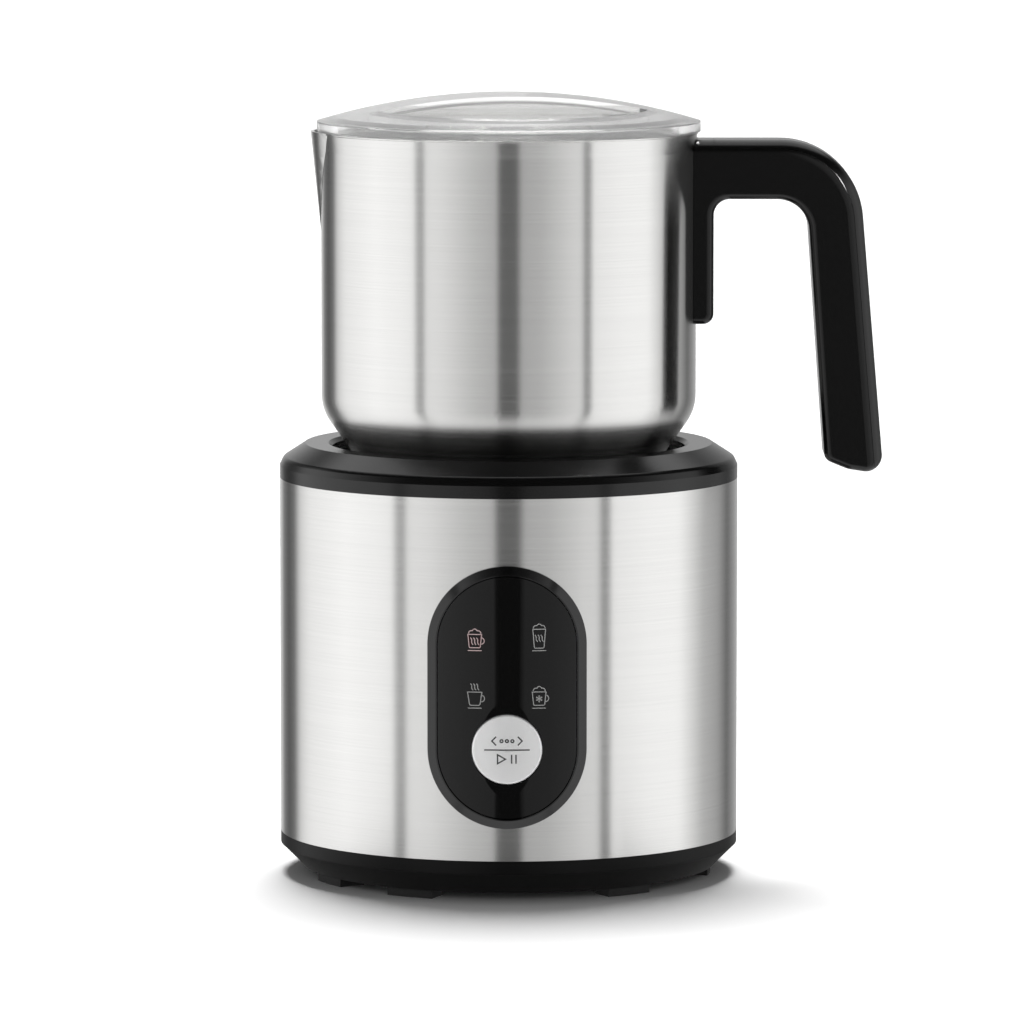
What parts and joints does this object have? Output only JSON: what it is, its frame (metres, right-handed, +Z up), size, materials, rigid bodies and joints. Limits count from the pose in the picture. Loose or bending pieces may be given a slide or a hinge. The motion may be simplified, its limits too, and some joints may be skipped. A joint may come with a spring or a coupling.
{
  "type": "milk frother",
  "caption": "Milk frother: steel jug with handle and clear lid on a round power base with a front panel and push button; a magnetic whisk turns inside the jug over an induction heater.",
  "frame": {"origin": "centre of the bounding box's footprint, handle included, on the plane of the feet; the base's and jug's vertical axis is 20.4 mm towards -X from it", "axes": "+Z up, -Y to the front with the control panel, +X to the handle, -X to the spout"},
  "size_m": [0.1708, 0.1327, 0.2221],
  "materials": {
    "brushed_steel": "brushed around the axis",
    "bright_steel": "satin",
    "black_satin": "fine satin",
    "black_gloss": "polished",
    "button_grey": "satin",
    "clear_plastic": "clear and polished",
    "moulded_plastic": "moulded",
    "light_plastic": "milky",
    "rubber": "matt",
    "silicone": "translucent",
    "circuit_board": "solder mask",
    "winding": "enamelled wire",
    "iron": "sintered",
    "magnet": "nickel plated",
    "aluminium": "extruded",
    "bronze": "sintered",
    "zinc_steel": "plated",
    "capacitor_yellow": "moulded"
  },
  "bodies": {
    "base": {"outer_sleeve": "brushed_steel", "top_ring": "black_satin", "seat_bowl": "black_satin", "bowl_gasket": "silicone", "inner_frame": "moulded_plastic", "base_ring": "black_satin", "base_cover": "black_satin", "rubber_feet": "rubber", "base_screws": "zinc_steel", "cord_gland": "rubber", "coil_former": "moulded_plastic", "induction_coil": "winding", "ferrite_bars": "iron", "coil_insulator": "light_plastic", "temperature_sensor": "aluminium", "motor_can": "zinc_steel", "field_magnets": "iron", "brush_plate": "moulded_plastic", "motor_brushes": "iron", "motor_bushes": "bronze", "motor_bracket": "zinc_steel", "motor_dampers": "rubber", "motor_screws": "zinc_steel", "bracket_screws": "zinc_steel", "bracket_nuts": "zinc_steel", "power_board": "circuit_board", "filter_capacitor": "capacitor_yellow", "choke_coil": "winding", "heatsink": "aluminium", "power_transistor": "black_satin", "control_board": "circuit_board", "indicator_leds": "light_plastic", "light_guides": "clear_plastic", "board_carrier": "moulded_plastic", "tact_switch": "black_satin", "panel_bezel": "black_gloss", "front_panel": "black_gloss"},
    "drive": {"drive_shaft": "bright_steel", "motor_rotor": "bright_steel", "commutator": "winding", "drive_hub": "moulded_plastic", "drive_magnets": "magnet", "cooling_fan": "moulded_plastic"},
    "button": {"push_button": "button_grey", "switch_plunger": "light_plastic"},
    "jug": {"jug": "brushed_steel", "whisk_spindle": "bright_steel", "handle": "black_satin", "handle_cover": "black_satin", "handle_bracket": "bright_steel", "handle_screws": "zinc_steel"},
    "whisk_collar": {"whisk_collar": "light_plastic"},
    "whisk": {"whisk_carrier": "moulded_plastic", "whisk_magnets": "magnet"},
    "frothing_ring": {"frothing_ring": "bright_steel"},
    "lid": {"lid": "clear_plastic", "lid_seal": "silicone"}
  },
  "joints": [
    {"name": "jug_lift", "type": "slide", "parent": "base", "child": "jug", "axis": [0, 0, 1], "range_m": [0, 0.12]},
    {"name": "lid_lift", "type": "slide", "parent": "jug", "child": "lid", "axis": [0, 0, 1], "range_m": [0, 0.06]},
    {"name": "drive_spin", "type": "hinge", "parent": "base", "child": "drive", "pos_m": [-0.0204, 0, 0.1], "axis": [0, 0, 1], "continuous": true},
    {"name": "whisk_lift", "type": "slide", "parent": "jug", "child": "whisk_collar", "axis": [0, 0, 1], "range_m": [0, 0.06]},
    {"name": "whisk_spin", "type": "hinge", "parent": "whisk_collar", "child": "whisk", "pos_m": [-0.0204, 0, 0.12], "axis": [0, 0, 1], "continuous": true},
    {"name": "frothing_ring_lift", "type": "slide", "parent": "whisk", "child": "frothing_ring", "axis": [0, 0, 1], "range_m": [0, 0.05]},
    {"name": "button_press", "type": "slide", "parent": "base", "child": "button", "axis": [0, 1, 0], "range_m": [0, 0.0008], "stiffness_N_per_m": 1200, "springref_m": -0.0004}
  ],
  "couplings": [
    {"joint": "whisk_spin", "follows": "drive_spin", "ratio": 1}
  ]
}
